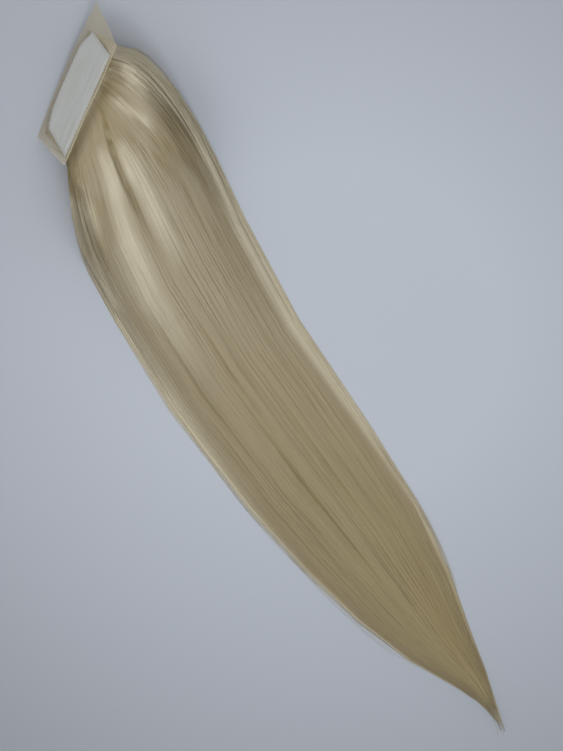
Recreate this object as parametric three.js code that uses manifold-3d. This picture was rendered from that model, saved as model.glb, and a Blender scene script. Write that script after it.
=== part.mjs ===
// A silk base hair closure lying on a table: a small lace panel with a silk panel sewn to its worn side, and
// long straight hair that leaves the lace's other side, bends down and lies flat, tapering to one tip.
// Lengths are millimetres and angles degrees. The table is Z = 0, +X runs along the hair from the base to
// the tip, and the origin is on the table under the middle of the base's raised edge. Left and right are
// as seen from the tip, so +Y is right.
import * as THREE from "three";
import { mergeVertices } from "three/addons/utils/BufferGeometryUtils.js";
import Module from "manifold-3d";

const wasm = await Module();
wasm.setup();

// The lace base, a four-sided panel that leans over the hair's root with its silk side showing.
const BASE_LENGTH = 102; // lower edge, corner to corner
const RAISED_LENGTH = 89; // raised edge, shorter at the slanted end
const RAISED_START = 1.3; // how far in from the square end the raised edge starts
const BASE_DEPTH = 51;
const LOWER_BELLY = 3.6; // how far the lower edge bellies out
const LACE_THICKNESS = 1;

// The silk panel and the bare lace border round it.
const SILK_THICKNESS = 1;
const LAYER_GAP = 0.3;
const LOWER_BORDER = 6.5;
const RAISED_BORDER = 2.5;
const SQUARE_END = { lower: 11, raised: 5 };
const SLANT_END = { lower: 16.5, raised: 8 };
const SQUARE_CORNER = { along: 11, up: 4.5 }; // the cut that rounds off its lower corner
const SLANT_CORNER = { along: 13, up: 8 };

// How the base stands on the table.
const BASE_YAW = 122.4; // direction of its long edge, seen from above
const BASE_RISE = 5.9; // its slanted end is lifted by this much
const BASE_LEAN = 28.9; // past upright, over the hair's root
const BASE_CORNER = { x: -1.7, y: -39.4 }; // where the lower square corner stands
const TABLE_CLEARANCE = 1;

// The hair as it lies.
const HAIR_LENGTH = 543; // from the origin to the tip
const HAIR_WIDTH = 118; // the spread that the outline's shares follow
const LYING_THICKNESS = 10;
const UNDER_EDGE = 0.84; // share of the raised edge's height that the hair fills under it
const ROOT_CLEARANCE = 0.5; // between the lace and the first hair
const ROOT_INSET = 3; // bare lace round the rooted field
const SLANT_INSET = 14; // the same at the slanted end's lower corner
const DOME = { inner: 2.4, outer: 0.62 }; // powers that round a lying section
const BOX = { inner: 14, outer: 0.2 }; // powers that round a boxy section

// The locks that stand out of the mass.
const LOCK_RISE = 2.4; // how far a lock of middle size stands out
const LOCK_SEAT = 0.96; // share of the surface's height where a lock's middle runs
const LOCK_DEPTH = 8; // how deep its underside is sunk into the mass
const LOCK_TAPER = 0.35; // share of a lock's length over which it thins to its tip
const LOCK_TIP = 0.12; // share of its width that is left at the tip
const MASS_SHARE = 0.94; // share of the surface's height that the mass fills

const EDGE_STEPS = 12;
const SECTION_POINTS = 15;
const RINGS_PER_ROW = 2;
const LOCK_SIDES = 8;
const LOCK_STEPS = 20;
const TRIM_ALLOWANCE = 5; // what the mass is given in excess where it is trimmed flat
const FINEST = 0.02; // the joined hair keeps no edge shorter than this

// Where the hair's outline runs. The along columns are shares of HAIR_LENGTH and the out columns shares of
// HAIR_WIDTH. Its crest is raised by so many heights of the base's raised edge and so many lying
// thicknesses, and full is 1 where the section is boxy and 0 where it is a low dome.
const SECTIONS = [
  { leftAlong: 0.077, leftOut: -0.362, rightAlong: -0.02, rightOut: 0.452, hump: 0.92, lying: 0, full: 0.8 },
  { leftAlong: 0.114, leftOut: -0.43, rightAlong: 0.05, rightOut: 0.495, hump: 0.86, lying: 0.05, full: 0.5 },
  { leftAlong: 0.166, leftOut: -0.509, rightAlong: 0.121, rightOut: 0.487, hump: 0.62, lying: 0.35, full: 0.25 },
  { leftAlong: 0.236, leftOut: -0.572, rightAlong: 0.211, rightOut: 0.432, hump: 0.33, lying: 0.8, full: 0.1 },
  { leftAlong: 0.322, leftOut: -0.585, rightAlong: 0.304, rightOut: 0.381, hump: 0.13, lying: 1.1, full: 0 },
  { leftAlong: 0.433, leftOut: -0.572, rightAlong: 0.424, rightOut: 0.352, hump: 0.03, lying: 1.2, full: 0 },
  { leftAlong: 0.552, leftOut: -0.534, rightAlong: 0.552, rightOut: 0.369, hump: 0, lying: 1.15, full: 0 },
  { leftAlong: 0.663, leftOut: -0.453, rightAlong: 0.663, rightOut: 0.356, hump: 0, lying: 1.05, full: 0 },
  { leftAlong: 0.759, leftOut: -0.339, rightAlong: 0.764, rightOut: 0.28, hump: 0, lying: 0.95, full: 0 },
  { leftAlong: 0.838, leftOut: -0.208, rightAlong: 0.843, rightOut: 0.191, hump: 0, lying: 0.8, full: 0 },
  { leftAlong: 0.902, leftOut: -0.06, rightAlong: 0.906, rightOut: 0.125, hump: 0, lying: 0.6, full: 0 },
  { leftAlong: 0.954, leftOut: 0.017, rightAlong: 0.958, rightOut: 0.056, hump: 0, lying: 0.35, full: 0 },
  { leftAlong: 0.998, leftOut: -0.014, rightAlong: 0.999, rightOut: -0.003, hump: 0, lying: 0.18, full: 0 },
];

// The locks that the hair's surface falls into. root and tail are a lock's place across, from the left
// outline, -1, to the right one, 1. width is a share of the local spread, rise counts lock rises, and
// starts and ends are shares of the way from the root to the tip.
const LOCKS = [
  { root: -0.93, tail: -0.95, width: 0.056, rise: 0.8, starts: 0.01, ends: 0.84 },
  { root: -0.8, tail: -0.82, width: 0.068, rise: 1.0, starts: 0.01, ends: 0.9 },
  { root: -0.64, tail: -0.66, width: 0.062, rise: 0.8, starts: 0.02, ends: 0.86 },
  { root: -0.5, tail: -0.5, width: 0.074, rise: 1.1, starts: 0.01, ends: 0.92 },
  { root: -0.35, tail: -0.34, width: 0.062, rise: 0.8, starts: 0.03, ends: 0.87 },
  { root: -0.17, tail: -0.18, width: 0.08, rise: 1.1, starts: 0.01, ends: 0.91 },
  { root: 0.0, tail: 0.0, width: 0.062, rise: 0.8, starts: 0.02, ends: 0.88 },
  { root: 0.14, tail: 0.15, width: 0.074, rise: 1.0, starts: 0.01, ends: 0.93 },
  { root: 0.31, tail: 0.32, width: 0.074, rise: 1.2, starts: 0.03, ends: 0.86 },
  { root: 0.48, tail: 0.48, width: 0.068, rise: 0.9, starts: 0.01, ends: 0.91 },
  { root: 0.63, tail: 0.64, width: 0.062, rise: 1.0, starts: 0.02, ends: 0.85 },
  { root: 0.78, tail: 0.8, width: 0.068, rise: 0.9, starts: 0.01, ends: 0.89 },
  { root: 0.92, tail: 0.94, width: 0.056, rise: 0.8, starts: 0.01, ends: 0.83 },
];

const UP = new THREE.Vector3(0, 0, 1);
const mix = THREE.MathUtils.lerp;
const radians = THREE.MathUtils.degToRad;

// A solid for joining and cutting, from a closed geometry.
function solidOf(geometry) {
  const bare = geometry.clone();
  bare.deleteAttribute("normal");
  bare.deleteAttribute("uv");
  const merged = mergeVertices(bare, 1e-4);
  return new wasm.Manifold(
    new wasm.Mesh({
      numProp: 3,
      vertProperties: new Float32Array(merged.attributes.position.array),
      triVerts: new Uint32Array(merged.index.array),
    }),
  );
}

function geometryOf(solid) {
  const made = solid.getMesh();
  const geometry = new THREE.BufferGeometry();
  geometry.setAttribute("position", new THREE.BufferAttribute(new Float32Array(made.vertProperties), 3));
  geometry.setIndex(new THREE.BufferAttribute(new Uint32Array(made.triVerts), 1));
  geometry.computeVertexNormals();
  return geometry;
}

// A closed skin through rings of equal counts, each turning anticlockwise as seen from the last ring.
function loft(rings) {
  const count = rings[0].length;
  const points = rings.flat();
  const index = [];
  for (let ring = 0; ring + 1 < rings.length; ring++) {
    for (let k = 0; k < count; k++) {
      const here = ring * count + k;
      const next = ring * count + ((k + 1) % count);
      index.push(here, next, next + count, here, next + count, here + count);
    }
  }
  for (const end of [0, rings.length - 1]) {
    const middle = rings[end].reduce((sum, p) => sum.add(p), new THREE.Vector3()).divideScalar(count);
    const hub = points.push(middle) - 1;
    for (let k = 0; k < count; k++) {
      const here = end * count + k;
      const next = end * count + ((k + 1) % count);
      index.push(...(end === 0 ? [hub, next, here] : [hub, here, next]));
    }
  }
  const geometry = new THREE.BufferGeometry().setFromPoints(points);
  geometry.setIndex(index);
  return geometry;
}

// The base's own frame: x along its long edge, y up its depth and z towards the hair, from the lace's
// hair side.
const baseYaw = new THREE.Group();
baseYaw.position.set(BASE_CORNER.x, BASE_CORNER.y, TABLE_CLEARANCE);
baseYaw.rotation.z = radians(BASE_YAW);
const baseRise = new THREE.Group();
baseRise.rotation.y = -radians(BASE_RISE);
const base = new THREE.Group();
base.rotation.x = radians(90 + BASE_LEAN);
baseYaw.add(baseRise);
baseRise.add(base);
baseYaw.updateMatrixWorld(true);

const onTable = (x, y, z) => base.localToWorld(new THREE.Vector3(x, y, z));
const raisedEnd = RAISED_START + RAISED_LENGTH;

// The lower edge's height in the base's plane, which bellies out between its corners.
function lowerEdge(x) {
  const share = x / BASE_LENGTH;
  return -4 * LOWER_BELLY * share * (1 - share);
}

// Points along the lower edge, or along a line that keeps a border from it.
function lowerLine(from, to, border) {
  const points = [];
  for (let step = 0; step <= EDGE_STEPS; step++) {
    const x = mix(from, to, step / EDGE_STEPS);
    points.push(new THREE.Vector2(x, lowerEdge(x) + border));
  }
  return points;
}

function laceOutline() {
  return [
    ...lowerLine(0, BASE_LENGTH, 0),
    new THREE.Vector2(raisedEnd, BASE_DEPTH),
    new THREE.Vector2(RAISED_START, BASE_DEPTH),
  ];
}

function silkOutline() {
  const start = SQUARE_END.lower;
  const end = BASE_LENGTH - SLANT_END.lower;
  const raised = BASE_DEPTH - RAISED_BORDER;
  const cornerHeight = (x, corner) => lowerEdge(x) + LOWER_BORDER + corner.up;
  return [
    ...lowerLine(start + SQUARE_CORNER.along, end - SLANT_CORNER.along, LOWER_BORDER),
    new THREE.Vector2(end, cornerHeight(end, SLANT_CORNER)),
    new THREE.Vector2(raisedEnd - SLANT_END.raised, raised),
    new THREE.Vector2(RAISED_START + SQUARE_END.raised, raised),
    new THREE.Vector2(start, cornerHeight(start, SQUARE_CORNER)),
  ];
}

// A flat wall of an outline, whose hair side lies at a height in the base's frame.
function wall(outline, hairSide, thickness) {
  const geometry = new THREE.ExtrudeGeometry(new THREE.Shape(outline), { depth: thickness, bevelEnabled: false });
  return geometry.translate(0, 0, hairSide - thickness);
}

// The hair's sections from the root to the tip. Each has its two ends, the way up from each to the crest,
// and how boxy it is. The first lies along the lace, the second under the base's raised edge.
function hairRows() {
  const rootedAt = (x, y) => onTable(x, y, -TRIM_ALLOWANCE);
  const top = BASE_DEPTH - ROOT_INSET;
  const left = rootedAt(ROOT_INSET, ROOT_INSET);
  const right = rootedAt(BASE_LENGTH - SLANT_INSET, ROOT_INSET);
  const rooted = {
    left,
    right,
    liftLeft: rootedAt(RAISED_START + ROOT_INSET, top).sub(left),
    liftRight: rootedAt(raisedEnd - ROOT_INSET, top).sub(right),
    full: 1,
  };
  const upright = (height) => UP.clone().multiplyScalar(height);
  const edge = {
    left: onTable(RAISED_START, BASE_DEPTH, 0),
    right: onTable(raisedEnd - ROOT_INSET, BASE_DEPTH, 0),
  };
  const under = {
    left: new THREE.Vector3(edge.left.x, edge.left.y, 0),
    right: new THREE.Vector3(edge.right.x, edge.right.y, 0),
    liftLeft: upright(edge.left.z * UNDER_EDGE),
    liftRight: upright(edge.right.z * UNDER_EDGE),
    full: 1,
  };
  const lying = SECTIONS.map((row) => {
    const crest = (row.hump * (edge.left.z + edge.right.z)) / 2 + row.lying * LYING_THICKNESS;
    return {
      left: new THREE.Vector3(row.leftAlong * HAIR_LENGTH, row.leftOut * HAIR_WIDTH, 0),
      right: new THREE.Vector3(row.rightAlong * HAIR_LENGTH, row.rightOut * HAIR_WIDTH, 0),
      liftLeft: upright(crest),
      liftRight: upright(crest),
      full: row.full,
    };
  });
  return [rooted, under, ...lying];
}

const rows = hairRows();
const rowCurves = Object.fromEntries(
  ["left", "right", "liftLeft", "liftRight"].map((key) => [
    key,
    new THREE.CatmullRomCurve3(rows.map((row) => row[key]), false, "catmullrom"),
  ]),
);

function fullness(way) {
  const place = way * (rows.length - 1);
  const row = Math.min(Math.floor(place), rows.length - 2);
  return mix(rows[row].full, rows[row + 1].full, place - row);
}

// How high the surface stands over its chord at a place across, as a share of the crest.
function profile(across, full) {
  const size = Math.min(Math.abs(across), 1);
  const rounded = (powers) => (1 - size ** powers.inner) ** powers.outer;
  return mix(rounded(DOME), rounded(BOX), full);
}

// A point of the hair: way runs from the root to the tip, across from -1 to 1, height from 0 to 1.
function hairPoint(way, across, height) {
  const share = (across + 1) / 2;
  const low = rowCurves.left.getPoint(way).lerp(rowCurves.right.getPoint(way), share);
  const lift = rowCurves.liftLeft.getPoint(way).lerp(rowCurves.liftRight.getPoint(way), share);
  return low.addScaledVector(lift, height * profile(across, fullness(way)));
}

// The mass of hair under the locks, which reaches below the table so that it can be trimmed flat.
function hairMass() {
  const steps = (rows.length - 1) * RINGS_PER_ROW;
  const rings = [];
  for (let step = 0; step <= steps; step++) {
    const way = step / steps;
    const ring = [];
    for (let k = 0; k < SECTION_POINTS; k++) {
      const across = Math.cos((Math.PI * k) / (SECTION_POINTS - 1));
      ring.push(hairPoint(way, across, MASS_SHARE));
    }
    for (const across of [-1, 1]) {
      ring.push(hairPoint(way, across, 0).addScaledVector(UP, -TRIM_ALLOWANCE));
    }
    rings.push(ring);
  }
  return solidOf(loft(rings));
}

// The frame of a lock at a point of its way: its middle, its flat side and its outside.
function lockFrame(way, across) {
  const step = 0.01;
  const point = (w, a) => hairPoint(Math.min(Math.max(w, 0), 1), Math.min(Math.max(a, -1), 1), LOCK_SEAT);
  const forward = point(way + step, across).sub(point(way - step, across)).normalize();
  const side = point(way, across + step).sub(point(way, across - step)).normalize();
  const out = new THREE.Vector3().crossVectors(forward, side).normalize();
  const level = new THREE.Vector3().crossVectors(out, forward).normalize();
  return { middle: point(way, across), level, out };
}

// One lock: a tube that follows the surface, sunk into the mass, and thins towards its tip.
function lockSolid(lock) {
  const rings = [];
  for (let step = 0; step <= LOCK_STEPS; step++) {
    const share = step / LOCK_STEPS;
    const way = mix(lock.starts, lock.ends, share);
    const { middle, level, out } = lockFrame(way, mix(lock.root, lock.tail, share));
    const spread = hairPoint(way, 1, 0).distanceTo(hairPoint(way, -1, 0));
    const thinning = Math.min(1, LOCK_TIP + (1 - share) / LOCK_TAPER);
    const halfWidth = lock.width * spread * thinning;
    const rise = lock.rise * LOCK_RISE * thinning;
    const ring = [];
    for (let k = 0; k < LOCK_SIDES; k++) {
      const turn = (2 * Math.PI * k) / LOCK_SIDES;
      const height = Math.sin(turn) > 0 ? rise : LOCK_DEPTH;
      const corner = middle.clone().addScaledVector(level, halfWidth * Math.cos(turn));
      ring.push(corner.addScaledVector(out, height * Math.sin(turn)));
    }
    rings.push(ring);
  }
  return solidOf(loft(rings));
}

// A block on the worn side of the base's plane, which keeps the hair clear of the lace.
function wornSideBlock() {
  const reach = 4 * BASE_LENGTH;
  const block = new THREE.BoxGeometry(reach, reach, reach).translate(0, 0, ROOT_CLEARANCE - reach / 2);
  return solidOf(block.applyMatrix4(base.matrixWorld));
}

// A block under the table, which trims the hair flat where it rests.
function tableBlock() {
  const reach = 4 * HAIR_LENGTH;
  return solidOf(new THREE.BoxGeometry(reach, reach, reach).translate(0, 0, -reach / 2));
}

// The locks joined to the mass and both trimmed, without the specks that trimming leaves.
function hairSolid() {
  let hair = hairMass();
  for (const lock of LOCKS) {
    hair = hair.add(lockSolid(lock));
  }
  const pieces = hair.subtract(wornSideBlock()).subtract(tableBlock()).simplify(FINEST).decompose();
  return pieces.reduce((largest, piece) => (piece.volume() > largest.volume() ? piece : largest));
}

function material(color, roughness) {
  return new THREE.MeshStandardMaterial({ color, roughness, metalness: 0 });
}

function named(name, geometry, look) {
  const mesh = new THREE.Mesh(geometry, look);
  mesh.name = name;
  return mesh;
}

const silkSide = -LACE_THICKNESS - LAYER_GAP;
base.add(named("lace_base", wall(laceOutline(), 0, LACE_THICKNESS), material(0xa89f8c, 0.9)));
base.add(named("silk_panel", wall(silkOutline(), silkSide, SILK_THICKNESS), material(0xb4b3ac, 0.6)));

const closure = new THREE.Group();
closure.add(baseYaw);
closure.add(named("hair", geometryOf(hairSolid()), material(0x98896a, 0.5)));

export default closure;
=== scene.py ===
import math

import bpy
import numpy as np
from mathutils import Matrix, Vector


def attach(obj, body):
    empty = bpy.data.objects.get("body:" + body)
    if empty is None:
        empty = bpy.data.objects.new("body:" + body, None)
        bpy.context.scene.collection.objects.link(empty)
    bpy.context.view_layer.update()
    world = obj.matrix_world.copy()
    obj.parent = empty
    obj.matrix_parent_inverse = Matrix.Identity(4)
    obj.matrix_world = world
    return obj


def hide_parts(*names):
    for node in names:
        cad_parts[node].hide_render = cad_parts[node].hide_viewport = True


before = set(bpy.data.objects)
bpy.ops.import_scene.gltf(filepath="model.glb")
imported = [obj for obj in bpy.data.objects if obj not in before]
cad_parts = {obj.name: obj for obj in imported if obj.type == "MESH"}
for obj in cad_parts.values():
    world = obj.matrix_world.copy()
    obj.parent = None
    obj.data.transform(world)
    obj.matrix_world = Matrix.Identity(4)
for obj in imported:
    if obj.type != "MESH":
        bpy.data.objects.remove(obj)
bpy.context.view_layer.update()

MM = 0.001
UV_NAME = "OFBake"
PAINTED_SHADE_NAME = "shade"
UP = np.array([0.0, 0.0, 1.0])

# The base and the panel on it, as in the CAD source.
BASE_LENGTH = 102
RAISED_LENGTH = 89
RAISED_START = 1.3
BASE_DEPTH = 51
LOWER_BELLY = 3.6
LOWER_BORDER = 6.5
RAISED_BORDER = 2.5
SQUARE_LOWER, SQUARE_RAISED = 11, 5
SLANT_LOWER, SLANT_RAISED = 16.5, 8
SQUARE_CORNER_ALONG, SQUARE_CORNER_UP = 11, 4.5
SLANT_CORNER_ALONG, SLANT_CORNER_UP = 13, 8
BASE_YAW = 122.4
BASE_RISE = 5.9
BASE_LEAN = 28.9
BASE_CORNER = np.array([-1.7, -39.4, 1.0])
RAISED_END = RAISED_START + RAISED_LENGTH

# The hair's flow, as in the CAD source. Each row of SECTIONS has the left and right outline's place along
# and out, the crest in heights of the raised edge and in lying thicknesses, and how boxy the section is.
HAIR_LENGTH = 543
HAIR_WIDTH = 118
LYING_THICKNESS = 10
UNDER_EDGE = 0.84
ROOT_INSET = 3
SLANT_INSET = 14
TRIM_ALLOWANCE = 5
DOME_INNER, DOME_OUTER = 2.4, 0.62
BOX_INNER, BOX_OUTER = 14, 0.2
SECTIONS = [
    (0.077, -0.362, -0.02, 0.452, 0.92, 0, 0.8),
    (0.114, -0.43, 0.05, 0.495, 0.86, 0.05, 0.5),
    (0.166, -0.509, 0.121, 0.487, 0.62, 0.35, 0.25),
    (0.236, -0.572, 0.211, 0.432, 0.33, 0.8, 0.1),
    (0.322, -0.585, 0.304, 0.381, 0.13, 1.1, 0),
    (0.433, -0.572, 0.424, 0.352, 0.03, 1.2, 0),
    (0.552, -0.534, 0.552, 0.369, 0, 1.15, 0),
    (0.663, -0.453, 0.663, 0.356, 0, 1.05, 0),
    (0.759, -0.339, 0.764, 0.28, 0, 0.95, 0),
    (0.838, -0.208, 0.843, 0.191, 0, 0.8, 0),
    (0.902, -0.06, 0.906, 0.125, 0, 0.6, 0),
    (0.954, 0.017, 0.958, 0.056, 0, 0.35, 0),
    (0.998, -0.014, 0.999, -0.003, 0, 0.18, 0),
]

# The power that shapes the edges where the hair lies flat, which are thinner than in the CAD source, and the
# fade to it. A fade is a pair: the way or the place across where it starts, and how far on it ends.
THIN_OUTER = 1.0
THIN_FADE = (0.16, 0.14)

# The valleys between the locks, and the locks that stand out as valleys of less than no depth: depth and
# half width in millimetres, and (way, across) points. Each fades in and out over a share of its length.
VALLEYS = [
    (1.6, 2.0, [(0.1, 0.14), (0.131, 0.11), (0.164, 0.01), (0.209, -0.09), (0.251, -0.09), (0.329, -0.11)]),
    (0.5, 2.6, [(0.085, 0.45), (0.123, 0.65), (0.178, 0.81), (0.263, 0.85), (0.337, 0.85), (0.4, 0.68)]),
    (0.3, 5.5, [(0.1, 0.4), (0.15, 0.62), (0.2, 0.7), (0.27, 0.76), (0.34, 0.74), (0.4, 0.6), (0.45, 0.5)]),
    (0.7, 2.2, [(0.16, 0.4), (0.193, 0.45), (0.224, 0.5), (0.256, 0.64), (0.293, 0.73), (0.34, 0.78)]),
    (0.8, 2.2, [(0.14, 0.2), (0.169, 0.25), (0.204, 0.28), (0.25, 0.43), (0.302, 0.53), (0.37, 0.58)]),
    (1.0, 2.0, [(0.4, -0.6), (0.412, -0.59), (0.445, -0.59), (0.472, -0.56), (0.52, -0.5)]),
    (1.0, 1.8, [(0.4, 0.06), (0.42, 0.05), (0.492, -0.17), (0.57, -0.17), (0.611, -0.19), (0.67, -0.17)]),
    (0.9, 1.6, [(0.47, 0.23), (0.486, 0.22), (0.527, 0.2), (0.575, 0.23), (0.62, 0.24)]),
    (-1.2, 7.0, [(0.13, -0.02), (0.17, -0.15), (0.25, -0.3), (0.33, -0.4), (0.38, -0.45)]),
    (-1.3, 5.0, [(0.17, 0.1), (0.22, 0.08), (0.28, 0.1), (0.36, 0.05)]),
    (-0.8, 4.0, [(0.1, 0.3), (0.13, 0.38), (0.17, 0.45), (0.22, 0.6)]),
    (-0.8, 5.0, [(0.19, 0.97), (0.26, 0.96), (0.4, 0.92), (0.6, 0.94), (0.72, 0.95)]),
]
VALLEY_FADE = 0.22

# How far the strands reach across at ways along the hair: the way, the left and the right. The photo's thin
# edges let the light through, so the mass of strands is mostly a little narrower than the flow.
REACH = [
    (0.05, -1.08, 0.96),
    (0.1, -1.0, 0.985),
    (0.14, -0.935, 1.005),
    (0.17, -0.95, 1.02),
    (0.2, -0.995, 1.005),
    (0.25, -1.0, 0.953),
    (0.28, -0.985, 0.935),
    (0.32, -0.943, 0.915),
    (0.37, -0.917, 0.918),
    (0.42, -0.938, 0.908),
    (0.5, -0.978, 0.924),
    (0.61, -0.933, 0.905),
    (0.72, -1.0, 0.91),
    (0.78, -1.045, 0.905),
    (0.86, -1.19, 0.9),
    (0.93, -1.15, 1.0),
    (0.97, 0.0, 1.6),
    (1.0, 0.9, 2.3),
]

# Patches of painted shade where the hair is darker, or of painted highlight where it is lighter for less than
# no amount: the amount, the way and across of the middle, and half the patch's length in ways and half its
# width in millimetres.
PAINTED_LIGHT_PATCHES = [
    (0.1, 0.096, 0.85, 0.02, 8.0),
    (0.35, 0.112, 0.5, 0.022, 10.0),
    (0.35, 0.135, 0.12, 0.03, 6.0),
    (0.2, 0.16, -0.1, 0.02, 5.0),
    (0.5, 0.125, -0.8, 0.045, 10.0),
    (-0.4, 0.225, -0.7, 0.04, 6.0),
    (-0.25, 0.36, -0.43, 0.06, 10.0),
    (-0.55, 0.15, 0.8, 0.045, 10.0),
    (-0.4, 0.17, -0.95, 0.05, 8.0),
    (0.2, 0.3, -0.97, 0.07, 4.0),
    (0.1, 0.4, 0.5, 0.05, 10.0),
    (0.22, 0.435, 0.05, 0.035, 9.0),
    (0.12, 0.73, 0.5, 0.1, 14.0),
    (0.1, 0.82, 0.4, 0.07, 10.0),
]

# How the hair fans out between its roots and where it lies: the place across that it fans out from, how
# crowded it is there, and its start and end along the way.
FAN_MIDDLE = 0.15
FAN_SLOPE = 0.45
FAN_START, FAN_END = 0.07, 0.34
SETTLING_START = 0.5  # share of the way to the fan's start
ROOT_GAP = 0.6  # between the lace and the first hair
ROOT_REACH = 0.93  # how far across the root's end walls stand
ROOT_LIMIT = 0.2  # way by which all hair has left the lace
BISECTIONS = 24


def mix(a, b, share):
    return a + (b - a) * share


def smooth(share):
    share = np.clip(share, 0, 1)
    return share * share * (3 - 2 * share)


def faded(place, fade):
    """How far a place is through a fade, from 0 to 1."""
    start, length = fade
    return smooth((place - start) / length)


def unit(vectors):
    return vectors / np.linalg.norm(vectors, axis=-1, keepdims=True)


def base_axes():
    """The base's own axes in the row frame: along its long edge, up its depth and towards the hair."""
    turn = Matrix.Rotation(math.radians(BASE_YAW), 3, "Z")
    rise = Matrix.Rotation(-math.radians(BASE_RISE), 3, "Y")
    lean = Matrix.Rotation(math.radians(90 + BASE_LEAN), 3, "X")
    return np.array(turn @ rise @ lean)


BASE_AXES = base_axes()


def on_base(x, y, z):
    """A place in the base's own frame, or arrays of them, in the row frame."""
    own = np.stack(np.broadcast_arrays(x, y, z), -1).astype(float)
    return BASE_CORNER + own @ BASE_AXES.T


def off_base(points):
    """How far points lie from the lace's hair side, towards the hair."""
    return (points - BASE_CORNER) @ BASE_AXES[:, 2]


def flow_rows():
    """The flow's rows as arrays of left ends, right ends, their lifts, and how boxy each row is."""
    top = BASE_DEPTH - ROOT_INSET
    left = on_base(ROOT_INSET, ROOT_INSET, -TRIM_ALLOWANCE)
    right = on_base(BASE_LENGTH - SLANT_INSET, ROOT_INSET, -TRIM_ALLOWANCE)
    rows = [
        (
            left,
            right,
            on_base(RAISED_START + ROOT_INSET, top, -TRIM_ALLOWANCE) - left,
            on_base(RAISED_END - ROOT_INSET, top, -TRIM_ALLOWANCE) - right,
            1,
        )
    ]
    edge_left = on_base(RAISED_START, BASE_DEPTH, 0)
    edge_right = on_base(RAISED_END - ROOT_INSET, BASE_DEPTH, 0)
    flat = np.array([1, 1, 0])
    lift_left, lift_right = edge_left[2] * UNDER_EDGE * UP, edge_right[2] * UNDER_EDGE * UP
    rows.append((edge_left * flat, edge_right * flat, lift_left, lift_right, 1))
    for left_along, left_out, right_along, right_out, hump, lying, full in SECTIONS:
        crest = hump * (edge_left[2] + edge_right[2]) / 2 + lying * LYING_THICKNESS
        left = np.array([left_along * HAIR_LENGTH, left_out * HAIR_WIDTH, 0])
        right = np.array([right_along * HAIR_LENGTH, right_out * HAIR_WIDTH, 0])
        rows.append((left, right, crest * UP, crest * UP, full))
    return [np.array([row[k] for row in rows], float) for k in range(5)]


LEFTS, RIGHTS, LIFTS_LEFT, LIFTS_RIGHT, FULLS = flow_rows()


def through(rows, way):
    """Points of the smooth curve through rows, for ways from 0 at the first row to 1 at the last."""
    last = len(rows) - 1
    place = np.clip(way, 0, 1) * last
    at = np.minimum(place.astype(int), last - 1)
    t = (place - at)[..., None]
    longer = np.vstack([2 * rows[0] - rows[1], rows, 2 * rows[-1] - rows[-2]])
    before, here, there, after = (longer[at + k] for k in range(4))
    slope, far_slope = (there - before) / 2, (after - here) / 2
    gap = there - here
    square, cube = 3 * gap - 2 * slope - far_slope, slope + far_slope - 2 * gap
    return here + slope * t + square * t**2 + cube * t**3


def profile(across, way):
    """How high the surface stands over its chord, as a share of the crest."""
    size = np.clip(np.abs(across), 0, 1)
    full = np.interp(way * (len(FULLS) - 1), np.arange(len(FULLS)), FULLS)
    outer = mix(DOME_OUTER, THIN_OUTER, faded(way, THIN_FADE))
    return mix((1 - size**DOME_INNER) ** outer, (1 - size**BOX_INNER) ** BOX_OUTER, full)


def spread(way):
    """Half the width of the hair at each way."""
    return np.linalg.norm(through(RIGHTS, way) - through(LEFTS, way), axis=-1) / 2


def flow(way, across, height, sunk=0.0):
    """Points of the hair: way from the root to the tip, across from -1 to 1, height as a share of the crest,
    and then sunk by so many millimetres."""
    share = ((across + 1) / 2)[..., None]
    low = mix(through(LEFTS, way), through(RIGHTS, way), share)
    lift = mix(through(LIFTS_LEFT, way), through(LIFTS_RIGHT, way), share)
    reach = np.linalg.norm(lift, axis=-1)
    return low + lift * np.maximum(height - sunk / reach, 0)[..., None]


def settled(way):
    """How far the hair has gone over from its root's own width to the flow's."""
    return smooth(way / FAN_START - SETTLING_START)


def reached(way, across):
    """Where in the flow a place across the mass of strands is, which is moved most at the edges."""
    ways, left, right = np.array(REACH).T
    edge = np.where(across < 0, -np.interp(way, ways, left), np.interp(way, ways, right))
    return across * mix(1, edge, np.abs(across))


def valley_depth(way, across):
    """How many millimetres deep the valleys are at places of the surface."""
    depth = np.zeros(np.broadcast(way, across).shape)
    for deep, half_width, points in VALLEYS:
        ways, places = np.array(points).T
        share = (way - ways[0]) / (ways[-1] - ways[0])
        fade = smooth(share / VALLEY_FADE) * smooth((1 - share) / VALLEY_FADE)
        away = (across - np.interp(way, ways, places)) * spread(way) / half_width
        depth += deep * fade * np.exp(-(away**2))
    return depth


def root_way(across, height):
    """The way at which the flow leaves the lace, for each place across and height."""
    near, far = np.zeros_like(across), np.full_like(across, ROOT_LIMIT)
    for _ in range(BISECTIONS):
        middle = (near + far) / 2
        inside = off_base(flow(middle, across, height)) < ROOT_GAP
        near, far = np.where(inside, middle, near), np.where(inside, far, middle)
    return far


# ---------------------------------------------------------------- meshes


def make_mesh(name, material, points, faces, uvs=None, shade=None):
    """A mesh object from points in millimetres. uvs has one pair a point, and shade one number a point."""
    mesh = bpy.data.meshes.new(name)
    mesh.from_pydata((np.asarray(points) * MM).tolist(), [], [list(face) for face in faces])
    mesh.polygons.foreach_set("use_smooth", [True] * len(mesh.polygons))
    if uvs is not None:
        corners = np.zeros(len(mesh.loops), np.int32)
        mesh.loops.foreach_get("vertex_index", corners)
        layer = mesh.uv_layers.new(name=UV_NAME)
        layer.data.foreach_set("uv", np.asarray(uvs, np.float32)[corners].ravel())
    if shade is not None:
        values = mesh.attributes.new(PAINTED_SHADE_NAME, "FLOAT", "POINT")
        values.data.foreach_set("value", np.asarray(shade, np.float32).ravel())
    mesh.materials.append(material)
    mesh.update()
    piece = bpy.data.objects.new(name, mesh)
    bpy.context.scene.collection.objects.link(piece)
    return piece


TUBE_TURNS = np.radians([90, -30, 210])
STRAND_FLATNESS = 0.42


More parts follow.
